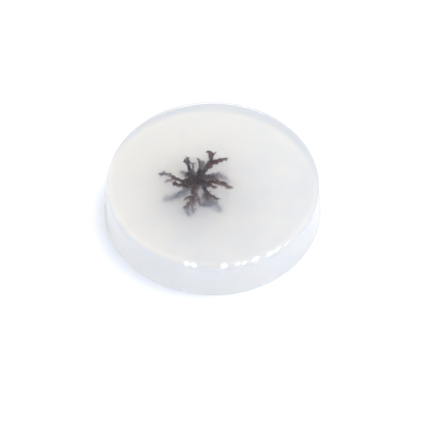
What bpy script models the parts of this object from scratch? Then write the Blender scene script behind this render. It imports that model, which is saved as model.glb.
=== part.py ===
"""Dendritic agate specimen: one round, flat-topped, polished tablet of milky agate, with a dark
dendrite of manganese oxide grown inside it.

The stone stands on its flat lapped base at z = 0, with the axis of the round on +Z. The wall
leans in a little towards the top, the top edge is rolled over by polishing, and the base edge
has only a fine break. The dendrite lies sealed in a pocket under the polished face. To hold it,
the stone is parted in two: a round plug closes the pocket from below.
"""

import math
from collections import namedtuple

import bmesh
import bpy
from mathutils import Matrix, Vector

MM = 0.001

# Driving dimensions
BASE_RADIUS = 10.0 * MM
SHOULDER_RADIUS = 9.73 * MM
THICKNESS = 4.0 * MM
TOP_ROLL_WIDTH = 0.60 * MM
TOP_ROLL_HEIGHT = 0.40 * MM
BASE_BREAK = 0.15 * MM

# The pocket under the polished face, and the plug that closes it
POCKET_CENTRE = (-1.60 * MM, 0.45 * MM)
POCKET_RADIUS = 4.10 * MM
POCKET_ROOF = 0.25 * MM
PLUG_HEIGHT = 1.45 * MM
SEAM = 0.30 * MM

# The dendrite: how far it keeps under the polished face, the core that every arm grows from, and
# the twigs, whose girth and reach are shares of the stem's own
COVER = 0.40 * MM
SIGHT_SLOPE = 0.44
CORE_PLACE = (-1.55 * MM, 0.50 * MM)
CORE_RADIUS = 0.22 * MM
CORE_DEPTHS = (0.90 * MM, 1.60 * MM)
TWIG_SPACING = 0.40 * MM
TWIG_ANGLE = math.radians(58.0)
TWIG_TURN = math.radians(137.5)
TWIG_GIRTH = 0.55
TWIG_TAPER = 0.70
TWIG_REACH = 0.60

UP = Vector((0.0, 0.0, 1.0))
EAST = Vector((1.0, 0.0, 0.0))
STEEP = 0.95

Arm = namedtuple("Arm", "name root bends depth girth twig")

# The arms of the growth, in millimetres: the place of the root on the polished face, as the arm
# is seen through it, the bends as (heading in degrees, length), the depth under the face at the
# root and at the tip, the radius of the stem at both, and the reach of the twigs. Heading 0
# points to +X and 90 to +Y.
ARMS = (
    Arm("upper_right", (-1.25, 0.35), ((62, 0.80), (58, 0.75), (69, 0.65), (87, 0.60), (90, 0.45)),
        (0.70, 0.50), (0.22, 0.16), 0.22),
    Arm("upper_right_tip_left", (-0.20, 3.15), ((139, 0.40),),
        (0.50, 0.50), (0.11, 0.09), 0.10),
    Arm("upper_right_tip_right", (-0.20, 3.00), ((37, 0.40),),
        (0.50, 0.50), (0.11, 0.09), 0.10),
    Arm("upper_right_fork", (-0.35, 1.85), ((37, 0.65), (26, 0.45), (23, 0.40), (10, 0.25)),
        (0.60, 0.55), (0.21, 0.12), 0.18),
    Arm("upper_right_veil", (-1.25, 0.55), ((75, 0.85), (83, 0.80)),
        (0.75, 1.50), (0.23, 0.18), 0.30),
    Arm("upper_left", (-1.75, 0.45), ((112, 0.85), (111, 0.60), (103, 0.55), (75, 0.35)),
        (0.70, 0.60), (0.16, 0.13), 0.16),
    Arm("upper_left_knob", (-2.40, 2.25), ((166, 0.25),),
        (0.60, 0.60), (0.18, 0.15), 0.10),
    Arm("back_spike_left", (-1.75, 0.70), ((102, 0.70), (84, 0.45), (75, 0.30)),
        (0.80, 1.00), (0.10, 0.06), 0.10),
    Arm("back_spike_right", (-1.35, 0.70), ((84, 0.80), (92, 0.60), (102, 0.55)),
        (0.75, 0.75), (0.09, 0.07), 0.12),
    Arm("short_left_upper", (-1.45, 0.10), ((137, 0.60), (136, 0.55)),
        (0.50, 0.50), (0.21, 0.19), 0.18),
    Arm("short_left", (-1.65, 0.05), ((172, 0.75),),
        (0.55, 0.55), (0.18, 0.16), 0.14),
    Arm("faint_left", (-2.20, 0.45), ((143, 0.45), (134, 0.40)),
        (0.60, 1.50), (0.14, 0.12), 0.20),
    Arm("long_left", (-1.95, -0.30), ((162, 1.30), (147, 0.55), (133, 0.45), (174, 0.50), (184, 0.50)),
        (0.65, 0.95), (0.17, 0.13), 0.18),
    Arm("long_left_fork", (-3.40, 0.25), ((202, 0.65), (208, 0.50)),
        (0.80, 1.35), (0.11, 0.08), 0.12),
    Arm("mid_left", (-1.55, -0.20), ((207, 0.90), (167, 0.50), (174, 0.50), (158, 0.25)),
        (0.60, 0.65), (0.20, 0.14), 0.18),
    Arm("lower_left", (-2.20, -0.85), ((230, 0.60), (216, 0.60), (201, 0.70), (202, 0.60)),
        (1.35, 2.05), (0.23, 0.18), 0.35),
    Arm("front", (-1.55, -0.15), ((255, 0.85), (275, 0.65), (259, 0.65), (233, 0.60), (237, 0.50)),
        (0.60, 1.05), (0.19, 0.18), 0.22),
    Arm("front_spur", (-1.85, -2.00), ((167, 0.35), (205, 0.30)),
        (0.80, 0.65), (0.15, 0.11), 0.12),
    Arm("front_tip", (-2.40, -2.90), ((273, 0.60), (291, 0.55)),
        (1.15, 1.75), (0.21, 0.16), 0.26),
    Arm("front_fork", (-1.80, -2.45), ((262, 0.60), (284, 0.65)),
        (1.05, 1.35), (0.15, 0.12), 0.22),
    Arm("leaf_left", (-1.35, -0.35), ((255, 0.75), (274, 0.80), (289, 0.70), (314, 0.45)),
        (0.85, 1.25), (0.15, 0.12), 0.14),
    Arm("leaf_right", (-1.20, -0.15), ((304, 0.55), (290, 0.60), (278, 0.60), (270, 0.45)),
        (0.75, 1.05), (0.15, 0.12), 0.14),
    Arm("lower_right", (-0.80, -0.80), ((297, 0.65), (318, 0.45), (331, 0.40), (329, 0.40)),
        (0.65, 0.70), (0.16, 0.10), 0.22),
    Arm("deep_lower_right", (-0.75, -1.80), ((312, 0.85), (339, 0.45), (304, 0.50), (280, 0.45)),
        (1.35, 2.00), (0.30, 0.14), 0.40),
    Arm("deep_front_right", (-1.10, -2.75), ((357, 0.55), (0, 0.55)),
        (1.25, 1.70), (0.16, 0.14), 0.26),
    Arm("right", (-1.30, -0.05), ((335, 0.75), (30, 0.50), (357, 0.55), (343, 0.60)),
        (0.60, 0.55), (0.22, 0.15), 0.22),
    Arm("right_tip", (0.85, -0.25), ((332, 0.50), (319, 0.35), (341, 0.20)),
        (0.70, 0.80), (0.12, 0.11), 0.14),
    Arm("right_tip_fork", (1.15, -0.40), ((289, 0.55),),
        (0.78, 1.15), (0.08, 0.06), 0.12),
    Arm("right_under", (-0.55, -0.40), ((339, 0.50), (328, 0.40)),
        (0.70, 0.85), (0.14, 0.11), 0.14),
    Arm("right_over", (-1.00, 0.20), ((26, 0.60), (345, 0.40), (329, 0.45)),
        (0.80, 0.90), (0.23, 0.14), 0.24),
    Arm("cloud_right", (-0.35, 0.45), ((18, 0.45), (37, 0.50), (319, 0.45)),
        (1.15, 1.45), (0.23, 0.16), 0.35),
    Arm("cloud_tip", (0.65, 0.60), ((322, 0.55), (296, 0.55)),
        (1.65, 1.95), (0.16, 0.12), 0.28),
    Arm("core_right", (-1.40, 0.10), ((330, 0.45), (62, 0.40)),
        (0.80, 1.05), (0.23, 0.23), 0.24),
    Arm("core_back", (-1.45, 0.10), ((79, 0.60), (69, 0.50)),
        (0.55, 0.60), (0.25, 0.20), 0.20),
    Arm("core_front", (-1.45, 0.10), ((269, 0.45),),
        (0.45, 0.55), (0.25, 0.18), 0.20),
    Arm("core_left", (-1.65, -0.15), ((207, 0.50), (224, 0.50)),
        (1.05, 1.25), (0.23, 0.16), 0.26),
    Arm("core_deep", (-1.55, 0.10), ((275, 1.15),),
        (1.45, 1.65), (0.30, 0.25), 0.34),
)

# Fineness of the facets
ROUND_STEPS = 128
PLUG_SIDES = 64
STEM_SIDES = 6
TWIG_SIDES = 4
TOP_ROLL_STEPS = 7
BASE_BREAK_STEPS = 2
MERGE_DISTANCE = 0.00001
SHARP_ANGLE = math.radians(50.0)

# Finish
AGATE_COLOUR = (0.785, 0.782, 0.768, 1.0)
AGATE_ROUGHNESS = 0.12
AGATE_IOR = 1.54
OXIDE_COLOUR = (0.050, 0.026, 0.026, 1.0)
OXIDE_ROUGHNESS = 0.80


def clear_scene():
    for thing in list(bpy.data.objects):
        bpy.data.objects.remove(thing, do_unlink=True)


def quarter_arc(centre, radii, start_degrees, steps):
    """Points of a quarter of an ellipse in the (radius, height) plane, running clockwise."""
    points = []
    for step in range(steps + 1):
        angle = math.radians(start_degrees - 90.0 * step / steps)
        points.append((
            centre[0] + radii[0] * math.cos(angle),
            centre[1] + radii[1] * math.sin(angle),
        ))
    return points


def stone_profile():
    """Half section of the stone, from the middle of the top, down the wall, to the base's middle."""
    top_roll = quarter_arc(
        (SHOULDER_RADIUS - TOP_ROLL_WIDTH, THICKNESS - TOP_ROLL_HEIGHT),
        (TOP_ROLL_WIDTH, TOP_ROLL_HEIGHT), 90.0, TOP_ROLL_STEPS)
    base_break = quarter_arc(
        (BASE_RADIUS - BASE_BREAK, BASE_BREAK),
        (BASE_BREAK, BASE_BREAK), 0.0, BASE_BREAK_STEPS)
    return [(0.0, THICKNESS)] + top_roll + base_break + [(0.0, 0.0)]


def profile_mesh(name, points):
    """A chain of edges in the XZ plane, on the +X side."""
    mesh = bpy.data.meshes.new(name)
    chain = bmesh.new()
    corners = [chain.verts.new((radius, 0.0, height)) for radius, height in points]
    for upper, lower in zip(corners, corners[1:]):
        chain.edges.new((upper, lower))
    chain.to_mesh(mesh)
    chain.free()
    return mesh


def turned_solid(name, points):
    """Turns a half section about +Z into one closed body."""
    solid = bpy.data.objects.new(name, profile_mesh(name, points))
    bpy.context.scene.collection.objects.link(solid)
    turn = solid.modifiers.new("turn", "SCREW")
    turn.axis = "Z"
    turn.angle = math.radians(360.0)
    turn.steps = ROUND_STEPS
    turn.render_steps = ROUND_STEPS
    turn.use_merge_vertices = True
    turn.merge_threshold = MERGE_DISTANCE
    turn.use_smooth_shade = True
    return solid


def apply_turn(solid):
    """Keeps the turned mesh itself, so that its sharp edges can be marked."""
    evaluated = solid.evaluated_get(bpy.context.evaluated_depsgraph_get())
    turned = bpy.data.meshes.new_from_object(evaluated)
    chain = solid.data
    solid.modifiers.clear()
    solid.data = turned
    bpy.data.meshes.remove(chain)
    turned.name = solid.name
    turned.shade_smooth()
    turned.set_sharp_from_angle(angle=SHARP_ANGLE)


def round_bar(name, radius, low, high):
    """A plain round bar over the pocket's centre, from one height to the other."""
    mesh = bpy.data.meshes.new(name)
    bar = bmesh.new()
    bmesh.ops.create_cone(
        bar, cap_ends=True, segments=PLUG_SIDES, radius1=radius, radius2=radius, depth=high - low,
        matrix=Matrix.Translation((*POCKET_CENTRE, (low + high) / 2.0)))
    bar.to_mesh(mesh)
    bar.free()
    mesh.shade_smooth()
    mesh.set_sharp_from_angle(angle=SHARP_ANGLE)
    piece = bpy.data.objects.new(name, mesh)
    bpy.context.scene.collection.objects.link(piece)
    return piece


def combine(solid, guide, operation):
    """Cuts or joins a guide into the solid. The guide itself isn't a part of the model."""
    guide.hide_render = True
    guide.display_type = "WIRE"
    boolean = solid.modifiers.new(operation.lower(), "BOOLEAN")
    boolean.operation = operation
    boolean.solver = "EXACT"
    boolean.object = guide
    return boolean


def stem_points(arm):
    """The root, the bends and the tip of an arm's stem.

    Light bends at the polished face, so a point that shows at one place on the face lies
    SIGHT_SLOPE times its depth farther back.
    """
    total = sum(length for heading, length in arm.bends)
    plan = Vector((arm.root[0], arm.root[1], 0.0))
    points = []
    run = 0.0
    for heading, length in ((0.0, 0.0), *arm.bends):
        turn = math.radians(heading)
        plan = plan + length * Vector((math.cos(turn), math.sin(turn), 0.0))
        run += length
        share = run / total
        depth = arm.depth[0] + (arm.depth[1] - arm.depth[0]) * share
        radius = (arm.girth[0] + (arm.girth[1] - arm.girth[0]) * share) * MM
        point = Vector((plan.x, plan.y + SIGHT_SLOPE * depth, 0.0)) * MM
        point.z = min(THICKNESS - depth * MM, THICKNESS - COVER - radius)
        points.append((point, radius))
    return points


def tapered_tube(bag, points, sides):
    """One closed tube through (point, radius) pairs, pointed at both ends."""
    rings = []
    for index, (point, radius) in enumerate(points):
        before = points[max(index - 1, 0)][0]
        after = points[min(index + 1, len(points) - 1)][0]
        along = (after - before).normalized()
        across = along.cross(EAST if abs(along.z) > STEEP else UP).normalized()
        upward = across.cross(along)
        ring = []
        for side in range(sides):
            turn = 2.0 * math.pi * side / sides
            ring.append(bag.verts.new(point + radius * (across * math.cos(turn) + upward * math.sin(turn))))
        rings.append(ring)
    first, second = points[0], points[1]
    last, previous = points[-1], points[-2]
    start = bag.verts.new(first[0] - (second[0] - first[0]).normalized() * first[1])
    end = bag.verts.new(last[0] + (last[0] - previous[0]).normalized() * last[1])
    for side in range(sides):
        following = (side + 1) % sides
        bag.faces.new((start, rings[0][side], rings[0][following]))
        bag.faces.new((end, rings[-1][following], rings[-1][side]))
        for near, far in zip(rings, rings[1:]):
            bag.faces.new((near[side], far[side], far[following], near[following]))


def grow_twigs(bag, points, reach):
    """Short twigs along a stem, each turned TWIG_TURN on from the one before it."""
    count = 0
    for (start, thick), (end, thin) in zip(points, points[1:]):
        along = (end - start).normalized()
        stations = round((end - start).length / TWIG_SPACING)
        for station in range(stations):
            share = (station + 0.5) / stations
            foot = start.lerp(end, share)
            radius = thick + (thin - thick) * share
            across = Matrix.Rotation(TWIG_TURN * count, 3, along) @ along.orthogonal().normalized()
            heading = along * math.cos(TWIG_ANGLE) + across * math.sin(TWIG_ANGLE)
            tip = foot + heading * (radius + reach * TWIG_REACH)
            girth = radius * TWIG_GIRTH
            tip.z = min(tip.z, THICKNESS - COVER - girth)
            tapered_tube(bag, [(foot, girth), (tip, girth * TWIG_TAPER)], TWIG_SIDES)
            count += 1


def tube_object(name, bag):
    """An object of the tubes that a bag holds."""
    mesh = bpy.data.meshes.new(name)
    bmesh.ops.recalc_face_normals(bag, faces=bag.faces)
    bag.to_mesh(mesh)
    bag.free()
    piece = bpy.data.objects.new(name, mesh)
    bpy.context.scene.collection.objects.link(piece)
    return piece


def dendrite_growth():
    """All arms and twigs, fused into one body with the core that they grew from."""
    arms = bmesh.new()
    for arm in ARMS:
        points = stem_points(arm)
        tapered_tube(arms, points, STEM_SIDES)
        grow_twigs(arms, points, arm.twig * MM)
    growth = tube_object("dendrite", arms)
    core = bmesh.new()
    ends = [(Vector((*CORE_PLACE, THICKNESS - depth)), CORE_RADIUS) for depth in CORE_DEPTHS]
    tapered_tube(core, ends, STEM_SIDES)
    fusing = combine(growth, tube_object("core_guide", core), "UNION")
    fusing.use_self = True
    return growth


def polished_agate():
    """Milky white chalcedony, lapped and polished to a glassy surface."""
    material = bpy.data.materials.new("polished_agate")
    material.use_nodes = True
    shader = material.node_tree.nodes["Principled BSDF"]
    shader.inputs["Base Color"].default_value = AGATE_COLOUR
    shader.inputs["Metallic"].default_value = 0.0
    shader.inputs["Roughness"].default_value = AGATE_ROUGHNESS
    shader.inputs["IOR"].default_value = AGATE_IOR
    material.diffuse_color = AGATE_COLOUR
    return material


def manganese_oxide():
    """Dull brown-black manganese and iron oxide."""
    material = bpy.data.materials.new("manganese_oxide")
    material.use_nodes = True
    shader = material.node_tree.nodes["Principled BSDF"]
    shader.inputs["Base Color"].default_value = OXIDE_COLOUR
    shader.inputs["Metallic"].default_value = 0.0
    shader.inputs["Roughness"].default_value = OXIDE_ROUGHNESS
    material.diffuse_color = OXIDE_COLOUR
    return material


def main():
    clear_scene()
    agate = polished_agate()
    stone = turned_solid("agate_stone", stone_profile())
    apply_turn(stone)
    stone.data.materials.append(agate)
    well = round_bar("well_guide", POCKET_RADIUS, -THICKNESS, THICKNESS - POCKET_ROOF)
    combine(stone, well, "DIFFERENCE")
    plug = round_bar("agate_plug", POCKET_RADIUS - SEAM, 0.0, PLUG_HEIGHT)
    plug.data.materials.append(agate)
    dendrite_growth().data.materials.append(manganese_oxide())


main()
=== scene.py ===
"""Looks of a dendritic agate specimen: a milky, polished, flat-topped round tablet with a dark
fern-like growth of manganese oxide inside it, on a pale table under soft studio light.

Lengths are in metres unless a name or a comment says millimetres.
"""

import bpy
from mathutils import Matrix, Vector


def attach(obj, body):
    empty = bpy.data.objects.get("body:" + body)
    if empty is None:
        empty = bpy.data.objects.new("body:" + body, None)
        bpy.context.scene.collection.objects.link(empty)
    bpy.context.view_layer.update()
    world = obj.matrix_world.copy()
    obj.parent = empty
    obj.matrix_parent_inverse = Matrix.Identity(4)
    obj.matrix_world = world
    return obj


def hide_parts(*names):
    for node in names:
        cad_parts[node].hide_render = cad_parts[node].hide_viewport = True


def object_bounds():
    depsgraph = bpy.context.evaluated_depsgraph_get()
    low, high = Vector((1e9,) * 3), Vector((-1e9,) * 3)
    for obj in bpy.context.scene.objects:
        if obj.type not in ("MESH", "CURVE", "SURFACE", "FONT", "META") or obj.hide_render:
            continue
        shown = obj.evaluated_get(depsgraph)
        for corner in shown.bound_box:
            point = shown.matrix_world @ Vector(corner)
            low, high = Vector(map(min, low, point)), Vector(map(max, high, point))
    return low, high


bl_info = {
    "name": "Dendritic Agate Specimen",
    "version": (1, 0, 0),
    "blender": (4, 5, 0),
    "location": "View3D > Sidebar > Agate",
    "description": "Cuts a milky agate tablet, grows the dendrite inside it and lights both",
    "category": "Object",
}

import math
import random
from collections import namedtuple

import bmesh
import bpy
from bpy.props import FloatProperty, FloatVectorProperty, IntProperty, PointerProperty
from bpy.types import Operator, Panel, PropertyGroup
from mathutils import Matrix, Vector

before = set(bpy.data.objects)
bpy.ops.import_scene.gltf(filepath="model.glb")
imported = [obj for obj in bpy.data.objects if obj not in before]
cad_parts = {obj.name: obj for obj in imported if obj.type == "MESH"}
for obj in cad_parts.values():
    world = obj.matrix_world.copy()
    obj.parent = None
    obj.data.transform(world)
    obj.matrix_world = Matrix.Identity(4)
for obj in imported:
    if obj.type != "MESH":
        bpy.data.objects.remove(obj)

MM = 0.001
STONE_NODES = ("agate_stone", "agate_plug")
DENDRITE_NODE = "dendrite"
BODY = "root"

CAD_LOW, CAD_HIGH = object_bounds()
BASE_RADIUS = CAD_HIGH.x
THICKNESS = CAD_HIGH.z


def linear(hex_colour):
    """An sRGB hex colour such as "#E6E6E3" as linear red, green and blue."""
    channels = []
    for at in (1, 3, 5):
        value = int(hex_colour[at:at + 2], 16) / 255.0
        channels.append(value / 12.92 if value <= 0.04045 else ((value + 0.055) / 1.055) ** 2.4)
    return tuple(channels)


# Settings that a user would change

class StoneSettings(PropertyGroup):
    wall_lean: FloatProperty(
        name="Wall lean", description="How far the wall leans in from the base to the top",
        default=0.27 * MM, min=0.0, unit="LENGTH")
    roll_width: FloatProperty(
        name="Edge roll width", description="Width of the top edge that polishing rolled over",
        default=0.60 * MM, min=0.0, unit="LENGTH")
    roll_height: FloatProperty(
        name="Edge roll height", description="Height of the rolled top edge",
        default=0.40 * MM, min=0.0, unit="LENGTH")
    base_break: FloatProperty(
        name="Base break", description="Radius of the fine break on the base edge",
        default=0.15 * MM, min=0.0, unit="LENGTH")
    facets: IntProperty(
        name="Facets", description="Facets round the stone", default=288, min=32, max=512)
    milk: FloatVectorProperty(
        name="Milk", description="Colour of the milky body", subtype="COLOR", size=3,
        min=0.0, max=1.0, default=linear("#E6E8EB"))
    # Cream is partly the clouds' own faint iron stain and partly a painted warm glow of light
    # through the stone
    cream_and_painted_glow: FloatVectorProperty(
        name="Cream", description="Colour of the faintly iron-stained clouds", subtype="COLOR",
        size=3, min=0.0, max=1.0, default=linear("#FFF9EE"))
    # The clear band is painted shade: a slightly darker, greyer band inside the far rim
    clear: FloatVectorProperty(
        name="Clear band", description="Colour of the clearer band inside the far rim",
        subtype="COLOR", size=3, min=0.0, max=1.0, default=linear("#E6E7E7"))


class DendriteSettings(PropertyGroup):
    oxide: FloatVectorProperty(
        name="Oxide", description="Colour of the manganese oxide", subtype="COLOR", size=3,
        min=0.0, max=1.0, default=linear("#280820"))
    rust: FloatVectorProperty(
        name="Rust", description="Colour of the growth where it holds more iron", subtype="COLOR",
        size=3, min=0.0, max=1.0, default=linear("#542229"))
    # Deep is painted light: the blue-violet veil that the milk's scattered light lays over deep
    # growth
    deep: FloatVectorProperty(
        name="Deep", description="Colour of the fine growth that lies deep in the milk",
        subtype="COLOR", size=3, min=0.0, max=1.0, default=linear("#241256"))
    shoots: FloatProperty(
        name="Shoots", description="Mossy shoots on each square metre of the growth",
        default=18.0 / (MM * MM), min=0.0)
    reach: FloatProperty(
        name="Shoot reach", description="Length of the longest shoots",
        default=0.18 * MM, min=0.0, unit="LENGTH")
    shoot_girth: FloatProperty(
        name="Shoot girth", description="Radius of the thickest shoots",
        default=0.095 * MM, min=0.0, unit="LENGTH")
    voxel: FloatProperty(
        name="Fusing size", description="Size of the voxels that fuse the shoots into one growth",
        default=0.040 * MM, min=0.01 * MM, unit="LENGTH")
    seed: IntProperty(
        name="Seed", description="Which growth of mossy shoots is made", default=7, min=0)


class StageSettings(PropertyGroup):
    table: FloatVectorProperty(
        name="Table", description="Colour of the matt white table", subtype="COLOR", size=3,
        min=0.0, max=1.0, default=linear("#F4F4F6"))
    sky: FloatProperty(
        name="Surround", description="Strength of the soft light from all round",
        default=1.0, min=0.0)
    key: FloatProperty(
        name="Window", description="Brightness that the soft window adds to the surround",
        default=3.75, min=0.0)
    ceiling: FloatProperty(
        name="Ceiling", description="How much dimmer the ceiling is that the face mirrors",
        default=0.6, min=0.0)
    strip: FloatProperty(
        name="Strip", description="Brightness of the low strip that glints on the far rim",
        default=6.0, min=0.0)
    spots: FloatProperty(
        name="Spots", description="Brightness of the small lamps that glint on the near rim",
        default=80.0, min=0.0)


class AgateSettings(PropertyGroup):
    stone: PointerProperty(type=StoneSettings)
    dendrite: PointerProperty(type=DendriteSettings)
    stage: PointerProperty(type=StageSettings)


def settings():
    return bpy.context.scene.agate_settings


# Helpers

def add(tree, kind, attributes=None, ordered=None, **inputs):
    """Adds one node. attributes are its own settings, ordered holds inputs by their place, and the
    rest are inputs by their name. Each input is a value or another node's output."""
    node = tree.nodes.new(kind)
    for name, value in (attributes or {}).items():
        setattr(node, name, value)
    named = {name.replace("_", " "): value for name, value in inputs.items()}
    for key, value in {**(ordered or {}), **named}.items():
        socket = node.inputs[key]
        if isinstance(value, bpy.types.NodeSocket):
            tree.links.new(value, socket)
        else:
            socket.default_value = value
    return node


def new_material(name):
    material = bpy.data.materials.new(name)
    material.use_nodes = True
    material.node_tree.nodes.clear()
    return material, material.node_tree


def new_piece(name, mesh):
    piece = bpy.data.objects.new(name, mesh)
    bpy.context.scene.collection.objects.link(piece)
    return piece


# The stone

ROLL_STEPS = 18
BREAK_STEPS = 6
CREASE_DEGREES = 40.0


def quarter_arc(centre, radii, start_degrees, steps):
    """Points of a quarter of an ellipse in the (radius, height) plane, running clockwise."""
    points = []
    for step in range(steps + 1):
        angle = math.radians(start_degrees - 90.0 * step / steps)
        points.append((
            centre[0] + radii[0] * math.cos(angle),
            centre[1] + radii[1] * math.sin(angle),
        ))
    return points


def stone_profile(cut):
    """Half section of the stone, from the top face's edge, down the wall, to the base's edge."""
    shoulder = BASE_RADIUS - cut.wall_lean
    top_roll = quarter_arc(
        (shoulder - cut.roll_width, THICKNESS - cut.roll_height),
        (cut.roll_width, cut.roll_height), 90.0, ROLL_STEPS)
    base_break = quarter_arc(
        (BASE_RADIUS - cut.base_break, cut.base_break),
        (cut.base_break, cut.base_break), 0.0, BREAK_STEPS)
    return top_roll + base_break


def turned_mesh(name, profile, facets):
    """One closed mesh: the profile turned about +Z, with a flat face on its top and its base."""
    mesh = bpy.data.meshes.new(name)
    turned = bmesh.new()
    rings = []
    for radius, height in profile:
        ring = []
        for step in range(facets):
            angle = 2.0 * math.pi * step / facets
            place = (radius * math.cos(angle), radius * math.sin(angle), height)
            ring.append(turned.verts.new(place))
        rings.append(ring)
    for upper, lower in zip(rings, rings[1:]):
        for step in range(facets):
            following = (step + 1) % facets
            turned.faces.new((upper[step], lower[step], lower[following], upper[following]))
    turned.faces.new(rings[0])
    turned.faces.new(list(reversed(rings[-1])))
    bmesh.ops.recalc_face_normals(turned, faces=turned.faces)
    turned.to_mesh(mesh)
    turned.free()
    mesh.shade_smooth()
    mesh.set_sharp_from_angle(angle=math.radians(CREASE_DEGREES))
    return mesh


# The finish: the face and its rolled edge are polished on felt, and the wall below is only lapped
QUARTZ_IOR = 1.54
FELT_ROUGHNESS = 0.06
LAPPED_ROUGHNESS = 0.34
LAPPED_BELOW = THICKNESS - 0.8 * MM
POLISHED_ABOVE = THICKNESS - 0.4 * MM

# The clouds of faint iron stain, and a painted warm glow of light through the stone, which thickens
# away from the place of the face with the least of it
CLOUD_SIZE = 3.2 * MM
FAINTEST_GLOW_PLACE = (3.0 * MM, -3.0 * MM, THICKNESS)
FAINT_GLOW_REACH = 6.5 * MM
FULL_GLOW_FROM = 12.0 * MM
GLOW_LEAST = 0.15
GLOW_MOST = 0.6
# Clouds and painted glow show only near the face, so the face is painted lighter than the wall below
# it
CLOUDS_AND_LIT_FACE_BOTTOM = THICKNESS - 0.4 * MM
CLOUDS_AND_LIT_FACE_TOP = THICKNESS - 0.1 * MM

# A painted shade band inside the far rim, where the far wall shows through the face, as distances
# from its centre
FAR_RIM_SHADE_CENTRE = (-0.3 * MM, -1.5 * MM, THICKNESS)
FAR_RIM_SHADE_FROM = 9.5 * MM
FAR_RIM_SHADE_TO = 10.2 * MM

# What light meets inside, each metre: fibres that bend it forward, haze that scatters blue most,
# and stain that takes it up
FIBRE_DENSITY = 1400.0
FIBRE_FORWARD = 0.94
FIBRE_TINT = (0.95, 0.97, 1.0, 1.0)
HAZE_DENSITY = 290.0
HAZE_FORWARD = 0.1
HAZE_TINT = (0.32, 0.57, 1.0, 1.0)
STAIN_DENSITY = 4.0
STAIN_TINT = (0.60, 0.52, 0.34, 1.0)


def polished_chalcedony(colours):
    """Milky chalcedony, lapped and polished on felt: glassy gloss over a soft, deep white glow.

    The refractive index is quartz's. The haze scatters light about every 3 mm, blue more than red,
    so what lies deep looks pale and violet, and the fibres soften its edges.
    """
    material, tree = new_material("polished_milky_chalcedony")
    output = add(tree, "ShaderNodeOutputMaterial")
    place = add(tree, "ShaderNodeTexCoord").outputs["Object"]
    height = add(tree, "ShaderNodeSeparateXYZ", Vector=place).outputs["Z"]
    polish = add(
        tree, "ShaderNodeMapRange", Value=height, From_Min=LAPPED_BELOW, From_Max=POLISHED_ABOVE,
        To_Min=LAPPED_ROUGHNESS, To_Max=FELT_ROUGHNESS)
    clouds = add(tree, "ShaderNodeTexNoise", Vector=place, Scale=1.0 / CLOUD_SIZE, Detail=3.0)
    # Painted warm glow: the cream grows away from one place of the face, standing in for light that
    # passes through the stone
    away = add(tree, "ShaderNodeVectorMath", {"operation": "DISTANCE"}, {0: place, 1: FAINTEST_GLOW_PLACE})
    painted_glow = add(
        tree, "ShaderNodeMapRange", Value=away.outputs["Value"], From_Min=FAINT_GLOW_REACH,
        From_Max=FULL_GLOW_FROM, To_Min=GLOW_LEAST, To_Max=GLOW_MOST)
    clouds_and_painted_glow = add(
        tree, "ShaderNodeMath", {"operation": "ADD", "use_clamp": True},
        {0: clouds.outputs["Fac"], 1: painted_glow.outputs["Result"]})
    # Painted lighter face: clouds and glow fade out below the face, so the wall stays plain milk
    upper = add(
        tree, "ShaderNodeMapRange", Value=height, From_Min=CLOUDS_AND_LIT_FACE_BOTTOM, From_Max=CLOUDS_AND_LIT_FACE_TOP,
        To_Min=0.0, To_Max=1.0)
    share = add(
        tree, "ShaderNodeMath", {"operation": "MULTIPLY"},
        {0: clouds_and_painted_glow.outputs[0], 1: upper.outputs["Result"]})
    body = add(
        tree, "ShaderNodeMix", {"data_type": "RGBA"},
        {0: share.outputs[0], 6: (*colours.milk, 1.0), 7: (*colours.cream_and_painted_glow, 1.0)})
    # Painted shade: a greyer band inside the far rim, where the far wall shows through the face
    outward = add(
        tree, "ShaderNodeVectorMath", {"operation": "DISTANCE"}, {0: place, 1: FAR_RIM_SHADE_CENTRE})
    far_rim_shade = add(
        tree, "ShaderNodeMapRange", {"interpolation_type": "SMOOTHSTEP"},
        Value=outward.outputs["Value"], From_Min=FAR_RIM_SHADE_FROM, From_Max=FAR_RIM_SHADE_TO, To_Min=0.0,
        To_Max=1.0)
    with_far_rim_shade = add(
        tree, "ShaderNodeMix", {"data_type": "RGBA"},
        {0: far_rim_shade.outputs["Result"], 6: body.outputs[2], 7: (*colours.clear, 1.0)})
    shader = add(
        tree, "ShaderNodeBsdfPrincipled", Base_Color=with_far_rim_shade.outputs[2],
        Roughness=polish.outputs["Result"], IOR=QUARTZ_IOR, Transmission_Weight=1.0)
    tree.links.new(shader.outputs["BSDF"], output.inputs["Surface"])
    fibres = add(
        tree, "ShaderNodeVolumeScatter", Color=FIBRE_TINT, Density=FIBRE_DENSITY,
        Anisotropy=FIBRE_FORWARD)
    haze = add(
        tree, "ShaderNodeVolumeScatter", Color=HAZE_TINT, Density=HAZE_DENSITY,
        Anisotropy=HAZE_FORWARD)
    stain = add(tree, "ShaderNodeVolumeAbsorption", Color=STAIN_TINT, Density=STAIN_DENSITY)
    milk = add(
        tree, "ShaderNodeAddShader", None, {0: fibres.outputs["Volume"], 1: haze.outputs["Volume"]})
    inside = add(
        tree, "ShaderNodeAddShader", None, {0: milk.outputs["Shader"], 1: stain.outputs["Volume"]})
    tree.links.new(inside.outputs["Shader"], output.inputs["Volume"])
    return material


# The dendrite

# The mossy shoots: how far they lean and fork away, and how their length and girth vary
SHOOT_LEAN = 0.7
SHORTEST_SHOOT = 0.35
THINNEST_SHOOT = 0.6
SHOOT_FORK = 0.4
FORK_LEAN = 1.2
FORK_TAPER = 0.8
TIP_TAPER = 0.7
ROD_SIDES = 5
SOFTENING = 0.5
FACE_COVER_MM = 0.22

# How deep under the face the growth starts to take the painted blue veil, where it is fully so, and
# how much longer its shoots are there
DEEP_FROM_MM = 0.9
DEEP_TO_MM = 1.7
DEEP_REACH = 0.2

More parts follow.
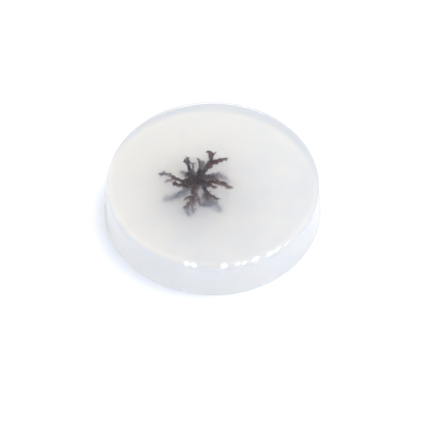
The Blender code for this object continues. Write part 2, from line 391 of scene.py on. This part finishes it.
# Where iron shows in the crust: patches, and more of it away from the core
CORE_PLACE = (-1.55 * MM, 0.50 * MM, 3.0 * MM)
PATCH_SIZE = 1.1 * MM
GRAIN_SIZE = 0.05 * MM
GRAIN_RELIEF = 0.02 * MM
IRON_FROM = 0.6 * MM
IRON_TO = 2.2 * MM
IRON_LEAST = -0.3
IRON_MOST = 0.2
RUST_FROM = 0.4
RUST_TO = 0.7
CRUST_ROUGHNESS = 0.8
GRAIN_STRENGTH = 0.5


def scatter(draw):
    """A random step, up to one either way along each axis."""
    return Vector((draw.uniform(-1, 1), draw.uniform(-1, 1), draw.uniform(-1, 1)))


def point_on(corners, draw):
    """A random point of a triangle, each part of it as likely as any other."""
    root = math.sqrt(draw.random())
    share = draw.random()
    return corners[0] * (1.0 - root) + corners[1] * root * (1.0 - share) + corners[2] * root * share


def deepness(point):
    """From 0, near the polished face, to 1, deep in the stone, for a point in millimetres."""
    share = (THICKNESS / MM - point.z - DEEP_FROM_MM) / (DEEP_TO_MM - DEEP_FROM_MM)
    return min(max(share, 0.0), 1.0)


def under_face(point, radius):
    """The point, sunk where a rod of this radius would come too near the polished face."""
    return Vector((point.x, point.y, min(point.z, THICKNESS / MM - FACE_COVER_MM - radius)))


def mossy_shoots(mesh, growth, draw):
    """Rods of forked shoots over a mesh in millimetres, as (start, end, radius, radius at end)."""
    rods = []
    crowd = growth.shoots * MM * MM
    longest = growth.reach / MM
    thickest = growth.shoot_girth / MM
    mesh.calc_loop_triangles()
    for triangle in mesh.loop_triangles:
        corners = [mesh.vertices[index].co for index in triangle.vertices]
        count = int(triangle.area * crowd + draw.random())
        for _ in range(count):
            foot = point_on(corners, draw)
            reach = longest * draw.uniform(SHORTEST_SHOOT, 1.0) * (1.0 + DEEP_REACH * deepness(foot))
            heading = (triangle.normal + scatter(draw) * SHOOT_LEAN).normalized()
            thick = thickest * draw.uniform(THINNEST_SHOOT, 1.0)
            tip = under_face(foot + heading * reach, thick)
            rods.append((foot, tip, thick, thick * FORK_TAPER))
            side = (heading + scatter(draw) * FORK_LEAN).normalized()
            end = under_face(tip + side * reach * SHOOT_FORK, thick)
            rods.append((tip, end, thick * FORK_TAPER, thick * TIP_TAPER))
    return rods


def add_rods(mesh, rods):
    """Adds every rod to the mesh, as a closed bar with pointed ends."""
    bag = bmesh.new()
    bag.from_mesh(mesh)
    turns = [2.0 * math.pi * side / ROD_SIDES for side in range(ROD_SIDES)]
    for start, end, thick, thin in rods:
        along = (end - start).normalized()
        across = along.orthogonal().normalized()
        beside = along.cross(across)
        spokes = [across * math.cos(turn) + beside * math.sin(turn) for turn in turns]
        tail = bag.verts.new(start - along * thick)
        near = [bag.verts.new(start + spoke * thick) for spoke in spokes]
        far = [bag.verts.new(end + spoke * thin) for spoke in spokes]
        head = bag.verts.new(end + along * thin)
        for side in range(ROD_SIDES):
            following = (side + 1) % ROD_SIDES
            bag.faces.new((tail, near[following], near[side]))
            bag.faces.new((near[side], near[following], far[following], far[side]))
            bag.faces.new((far[side], far[following], head))
    bag.to_mesh(mesh)
    bag.free()


def fuse(piece, voxel):
    """Fuses overlapping bodies into one skin and takes off the voxels' steps."""
    remesh = piece.modifiers.new("fuse", "REMESH")
    remesh.mode = "VOXEL"
    remesh.voxel_size = voxel
    smooth = piece.modifiers.new("soften", "SMOOTH")
    smooth.factor = SOFTENING
    smooth.iterations = 1
    evaluated = piece.evaluated_get(bpy.context.evaluated_depsgraph_get())
    fused = bpy.data.meshes.new_from_object(evaluated)
    rough = piece.data
    piece.modifiers.clear()
    piece.data = fused
    bpy.data.meshes.remove(rough)
    fused.name = piece.name
    fused.shade_smooth()


def manganese_oxide(colours):
    """Manganese and iron oxide that crystallised out of water in fine cracks: a dull crust of
    grains, black-brown where manganese rules and rusty where there is more iron. Deeper down
    it is painted a pale blue-violet, the veil of light that the milk scatters over it."""
    material, tree = new_material("grown_manganese_oxide")
    output = add(tree, "ShaderNodeOutputMaterial")
    place = add(tree, "ShaderNodeTexCoord").outputs["Object"]
    patches = add(tree, "ShaderNodeTexNoise", Vector=place, Scale=1.0 / PATCH_SIZE, Detail=3.0)
    outward = add(
        tree, "ShaderNodeVectorMath", {"operation": "DISTANCE"}, {0: place, 1: CORE_PLACE})
    spread = add(
        tree, "ShaderNodeMapRange", Value=outward.outputs["Value"], From_Min=IRON_FROM,
        From_Max=IRON_TO, To_Min=IRON_LEAST, To_Max=IRON_MOST)
    richness = add(
        tree, "ShaderNodeMath", {"operation": "ADD"},
        {0: patches.outputs["Fac"], 1: spread.outputs["Result"]})
    iron = add(
        tree, "ShaderNodeMapRange", Value=richness.outputs[0], From_Min=RUST_FROM,
        From_Max=RUST_TO)
    crust = add(
        tree, "ShaderNodeMix", {"data_type": "RGBA"},
        {0: iron.outputs["Result"], 6: (*colours.oxide, 1.0), 7: (*colours.rust, 1.0)})
    height = add(tree, "ShaderNodeSeparateXYZ", Vector=place).outputs["Z"]
    # Painted veil: deeper growth is coloured blue-violet, standing in for light that the milk
    # scatters over it
    depth = add(
        tree, "ShaderNodeMapRange", Value=height, From_Min=THICKNESS - DEEP_FROM_MM * MM,
        From_Max=THICKNESS - DEEP_TO_MM * MM, To_Min=0.0, To_Max=1.0)
    colour = add(
        tree, "ShaderNodeMix", {"data_type": "RGBA"},
        {0: depth.outputs["Result"], 6: crust.outputs[2], 7: (*colours.deep, 1.0)})
    grains = add(tree, "ShaderNodeTexNoise", Vector=place, Scale=1.0 / GRAIN_SIZE, Detail=2.0)
    bump = add(
        tree, "ShaderNodeBump", Height=grains.outputs["Fac"], Strength=GRAIN_STRENGTH,
        Distance=GRAIN_RELIEF)
    shader = add(
        tree, "ShaderNodeBsdfPrincipled", Base_Color=colour.outputs[2], Roughness=CRUST_ROUGHNESS,
        Normal=bump.outputs["Normal"])
    tree.links.new(shader.outputs["BSDF"], output.inputs["Surface"])
    return material


# The stage

CAMERA_DISTANCE = 250.0 * MM
CAMERA_ELEVATION = math.radians(51.77)
CAMERA_ROLL = math.radians(-0.62)
CAMERA_NEAR_CLIP = 25.0 * MM
CAMERA_FAR_CLIP = 20.0
PIXELS_PER_MM = 10.913
PICTURE_PX = 430.0
STONE_MIDDLE_PX = (212.90, 194.63)
SENSOR_MM = 36.0

TABLE_HALF_WIDTH = 1.0
TABLE_GAP = 0.02 * MM
TABLE_ROUGHNESS = 0.9

# Soft patches of the surround, in degrees: where each is, the angle inside which it is full, and
# the angle outside which there is none of it
Patch = namedtuple("Patch", "azimuth elevation full none")
WINDOW = Patch(22.0, 64.0, 8.0, 38.0)
CEILING = Patch(90.0, 52.0, 6.0, 20.0)
STRIP = Patch(90.0, 32.0, 3.0, 11.0)
WINDOW_TINT = (1.0, 0.99, 0.97, 1.0)
FRONT_TINT = (0.38, 0.49, 0.68, 1.0)
BEHIND_TINT = (1.0, 1.0, 1.0, 1.0)
TINT_FROM = -1.0
TINT_TO = 0.6

# The small spots, as (turn round the near rim in degrees, share of the brightness), and their size
SPOTS = (
    (-14.0, 1.1), (-10.0, 1.0), (6.4, 1.1), (14.2, 0.45), (17.8, 0.45), (24.0, 0.9), (32.6, 0.8),
    (38.5, 0.7), (45.0, 0.15),
)
SPOT_RISE = 50.0
SPOT_HALF_WIDTH = 0.9
SPOT_HALF_HEIGHT = 18.0
SPOT_SOFT_EDGE = 2.0

BLOOM_OVER = 1.5
BLOOM_PIXELS = 4


def place_camera():
    """A long lens over the front of the stone, aimed so that the stone falls where it should."""
    lens = bpy.data.cameras.new("camera")
    lens.sensor_width = SENSOR_MM
    lens.lens = PIXELS_PER_MM * (CAMERA_DISTANCE / MM) / PICTURE_PX * SENSOR_MM
    lens.clip_start = CAMERA_NEAR_CLIP
    lens.clip_end = CAMERA_FAR_CLIP
    camera = bpy.data.objects.new("camera", lens)
    bpy.context.scene.collection.objects.link(camera)
    middle = Vector((0.0, 0.0, THICKNESS / 2.0))
    back = Vector((0.0, -math.cos(CAMERA_ELEVATION), math.sin(CAMERA_ELEVATION)))
    up = Vector((0.0, math.sin(CAMERA_ELEVATION), math.cos(CAMERA_ELEVATION)))
    right = Vector((1.0, 0.0, 0.0))
    roll = Matrix.Rotation(-CAMERA_ROLL, 3, back)
    right, up = roll @ right, roll @ up
    aside = (PICTURE_PX / 2.0 - STONE_MIDDLE_PX[0]) / PIXELS_PER_MM * MM
    below = (PICTURE_PX / 2.0 - STONE_MIDDLE_PX[1]) / PIXELS_PER_MM * MM
    aim = middle + right * aside - up * below
    eye = middle + back * CAMERA_DISTANCE
    forward = (aim - eye).normalized()
    side = forward.cross(up).normalized()
    top = side.cross(forward)
    axes = Matrix((side, top, -forward)).transposed()
    camera.matrix_world = Matrix.Translation(eye) @ axes.to_4x4()
    bpy.context.scene.camera = camera


def white_table(colours):
    """Matt white acrylic sheet, cast: nearly no gloss, so only soft shadows show on it."""
    material, tree = new_material("cast_matt_white_acrylic")
    output = add(tree, "ShaderNodeOutputMaterial")
    shader = add(
        tree, "ShaderNodeBsdfPrincipled", Base_Color=(*colours.table, 1.0),
        Roughness=TABLE_ROUGHNESS, Specular_IOR_Level=0.0)
    tree.links.new(shader.outputs["BSDF"], output.inputs["Surface"])
    return material


def toward(azimuth, elevation):
    """Direction from the stone: azimuth in degrees from +X towards +Y, elevation above the table."""
    turn, rise = math.radians(azimuth), math.radians(elevation)
    return Vector((math.cos(turn) * math.cos(rise), math.sin(turn) * math.cos(rise), math.sin(rise)))


def glow(tree, direction, centre, full, none, strength):
    """A soft round patch of light on the surround: full inside one angle, none outside the other."""
    facing = add(
        tree, "ShaderNodeVectorMath", {"operation": "DOT_PRODUCT"}, {0: direction, 1: centre})
    patch = add(
        tree, "ShaderNodeMapRange", {"interpolation_type": "SMOOTHSTEP"},
        Value=facing.outputs["Value"], From_Min=math.cos(math.radians(none)),
        From_Max=math.cos(math.radians(full)), To_Min=0.0, To_Max=strength)
    return patch.outputs["Result"]


def patch_glow(tree, direction, patch, strength):
    centre = toward(patch.azimuth, patch.elevation)
    return glow(tree, direction, centre, patch.full, patch.none, strength)


def rim_mirror(turn, rise):
    """Where the camera looks to by way of the near rim, at a normal turned and raised by degrees."""
    normal = toward(turn - 90.0, rise)
    view = Vector((0.0, -math.cos(CAMERA_ELEVATION), math.sin(CAMERA_ELEVATION)))
    return 2.0 * normal.dot(view) * normal - view


def spot_glow(tree, direction, turn, strength):
    """A narrow upright lamp near the camera, where the near rim mirrors it at this turn."""
    middle = rim_mirror(turn, SPOT_RISE)
    side = middle.cross(rim_mirror(turn, SPOT_RISE + SPOT_HALF_HEIGHT)).normalized()
    beside = add(
        tree, "ShaderNodeVectorMath", {"operation": "DOT_PRODUCT"}, {0: direction, 1: side})
    within = add(
        tree, "ShaderNodeMath", {"operation": "COMPARE"},
        {0: beside.outputs["Value"], 1: 0.0, 2: math.sin(math.radians(SPOT_HALF_WIDTH))})
    tall = glow(
        tree, direction, middle, SPOT_HALF_HEIGHT, SPOT_HALF_HEIGHT + SPOT_SOFT_EDGE, strength)
    lamp = add(
        tree, "ShaderNodeMath", {"operation": "MULTIPLY"}, {0: within.outputs[0], 1: tall})
    return lamp.outputs[0]


def soft_surround(stage):
    """Even white light from all round, cooler in front and dimmer overhead behind, and a large
    soft window. The gloss doesn't mirror the window. It mirrors small lamps instead, which light
    nothing: a low strip behind, on the far rim, and a row of spots in front, on the near rim."""
    world = bpy.data.worlds.new("soft_surround")
    bpy.context.scene.world = world
    world.use_nodes = True
    tree = world.node_tree
    tree.nodes.clear()
    direction = add(tree, "ShaderNodeTexCoord").outputs["Generated"]
    away = add(tree, "ShaderNodeSeparateXYZ", Vector=direction).outputs["Y"]
    behind = add(
        tree, "ShaderNodeMapRange", {"interpolation_type": "SMOOTHSTEP"}, Value=away,
        From_Min=TINT_FROM, From_Max=TINT_TO)
    tint = add(
        tree, "ShaderNodeMix", {"data_type": "RGBA"},
        {0: behind.outputs["Result"], 6: FRONT_TINT, 7: BEHIND_TINT})
    even = add(
        tree, "ShaderNodeMath", {"operation": "ADD"},
        {0: patch_glow(tree, direction, CEILING, -stage.ceiling), 1: stage.sky})
    sky = add(tree, "ShaderNodeBackground", Color=tint.outputs[2], Strength=even.outputs[0])

    ray = add(tree, "ShaderNodeLightPath").outputs
    matt = add(
        tree, "ShaderNodeMath", {"operation": "SUBTRACT"}, {0: 1.0, 1: ray["Is Glossy Ray"]})
    lighting = add(
        tree, "ShaderNodeMath", {"operation": "MAXIMUM"},
        {0: matt.outputs[0], 1: ray["Is Transmission Ray"]})
    mirrored = add(
        tree, "ShaderNodeMath", {"operation": "SUBTRACT"}, {0: 1.0, 1: lighting.outputs[0]})
    lit = add(
        tree, "ShaderNodeMath", {"operation": "MULTIPLY"},
        {0: patch_glow(tree, direction, WINDOW, stage.key), 1: lighting.outputs[0]})
    lamps = [patch_glow(tree, direction, STRIP, stage.strip)]
    for turn, share in SPOTS:
        lamps.append(spot_glow(tree, direction, turn, stage.spots * share))
    for lamp in lamps:
        lit = add(
            tree, "ShaderNodeMath", {"operation": "MULTIPLY_ADD"},
            {0: lamp, 1: mirrored.outputs[0], 2: lit.outputs[0]})
    bright = add(tree, "ShaderNodeBackground", Color=WINDOW_TINT, Strength=lit.outputs[0])
    both = add(
        tree, "ShaderNodeAddShader", None,
        {0: sky.outputs["Background"], 1: bright.outputs["Background"]})
    add(tree, "ShaderNodeOutputWorld", Surface=both.outputs["Shader"])


def lens_bloom():
    """The camera's own bloom: what is far brighter than white spreads into a soft round spot."""
    scene = bpy.context.scene
    scene.use_nodes = True
    tree = scene.node_tree
    tree.nodes.clear()
    seen = add(tree, "CompositorNodeRLayers").outputs["Image"]
    over = add(
        tree, "CompositorNodeMixRGB", {"blend_type": "SUBTRACT", "use_clamp": False},
        {1: seen, 2: (BLOOM_OVER, BLOOM_OVER, BLOOM_OVER, 0.0)})
    bright = add(
        tree, "CompositorNodeMixRGB", {"blend_type": "LIGHTEN"},
        {1: over.outputs["Image"], 2: (0.0, 0.0, 0.0, 1.0)})
    spread = add(
        tree, "CompositorNodeBlur",
        {"filter_type": "GAUSS", "size_x": BLOOM_PIXELS, "size_y": BLOOM_PIXELS},
        Image=bright.outputs["Image"])
    bloomed = add(
        tree, "CompositorNodeMixRGB", {"blend_type": "ADD"}, {1: seen, 2: spread.outputs["Image"]})
    add(tree, "CompositorNodeComposite", Image=bloomed.outputs["Image"])


# Operators

class AGATE_OT_cut_stone(Operator):
    """Turns the stone, with its rolled and broken edges, in place of the plain solid"""
    bl_idname = "agate.cut_stone"
    bl_label = "Cut stone"

    def execute(self, context):
        cut = settings().stone
        mesh = turned_mesh("agate_tablet", stone_profile(cut), cut.facets)
        stone = new_piece("agate_tablet", mesh)
        stone.data.materials.append(polished_chalcedony(cut))
        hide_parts(*STONE_NODES)
        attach(stone, BODY)
        return {"FINISHED"}


class AGATE_OT_grow_dendrite(Operator):
    """Grows mossy shoots over the arms of the dendrite inside the stone and fuses them"""
    bl_idname = "agate.grow_dendrite"
    bl_label = "Grow dendrite"

    def execute(self, context):
        growth = settings().dendrite
        draw = random.Random(growth.seed)
        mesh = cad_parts[DENDRITE_NODE].data.copy()
        mesh.name = "dendrite_moss"
        mesh.transform(Matrix.Scale(1.0 / MM, 4))
        add_rods(mesh, mossy_shoots(mesh, growth, draw))
        dendrite = new_piece("dendrite_moss", mesh)
        fuse(dendrite, growth.voxel / MM)
        dendrite.data.transform(Matrix.Scale(MM, 4))
        dendrite.data.materials.clear()
        dendrite.data.materials.append(manganese_oxide(growth))
        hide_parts(DENDRITE_NODE)
        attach(dendrite, BODY)
        return {"FINISHED"}


class AGATE_OT_set_stage(Operator):
    """Lays the table, sets the lights and places the camera"""
    bl_idname = "agate.set_stage"
    bl_label = "Set stage"

    def execute(self, context):
        stage = settings().stage
        place_camera()
        sheet = bpy.data.meshes.new("table")
        reach = TABLE_HALF_WIDTH
        corners = [(-reach, -reach), (reach, -reach), (reach, reach), (-reach, reach)]
        sheet.from_pydata([(x, y, -TABLE_GAP) for x, y in corners], [], [(0, 1, 2, 3)])
        table = new_piece("table", sheet)
        table.data.materials.append(white_table(stage))
        soft_surround(stage)
        lens_bloom()
        scene = context.scene
        scene.view_settings.view_transform = "Standard"
        # Light wanders through the milk for many bounces, and sharp gloss keeps the glints
        scene.cycles.blur_glossy = 0.0
        scene.cycles.max_bounces = 160
        scene.cycles.diffuse_bounces = 8
        scene.cycles.glossy_bounces = 16
        scene.cycles.transmission_bounces = 64
        scene.cycles.volume_bounces = 128
        return {"FINISHED"}


class AGATE_PT_panel(Panel):
    bl_idname = "AGATE_PT_panel"
    bl_label = "Dendritic agate"
    bl_space_type = "VIEW_3D"
    bl_region_type = "UI"
    bl_category = "Agate"

    def draw(self, context):
        own = settings()
        for title, group in (("Stone", own.stone), ("Dendrite", own.dendrite), ("Stage", own.stage)):
            box = self.layout.box()
            box.label(text=title)
            for name in group.__annotations__:
                box.prop(group, name)
        for operator in OPERATORS:
            self.layout.operator(operator.bl_idname)


OPERATORS = (AGATE_OT_cut_stone, AGATE_OT_grow_dendrite, AGATE_OT_set_stage)
CLASSES = (StoneSettings, DendriteSettings, StageSettings, AgateSettings, *OPERATORS, AGATE_PT_panel)


def register():
    for kind in CLASSES:
        bpy.utils.register_class(kind)
    bpy.types.Scene.agate_settings = PointerProperty(type=AgateSettings)


def unregister():
    del bpy.types.Scene.agate_settings
    for kind in reversed(CLASSES):
        bpy.utils.unregister_class(kind)


def main():
    register()
    bpy.ops.agate.cut_stone()
    bpy.ops.agate.grow_dendrite()
    bpy.ops.agate.set_stage()


if __name__ == "__main__":
    main()
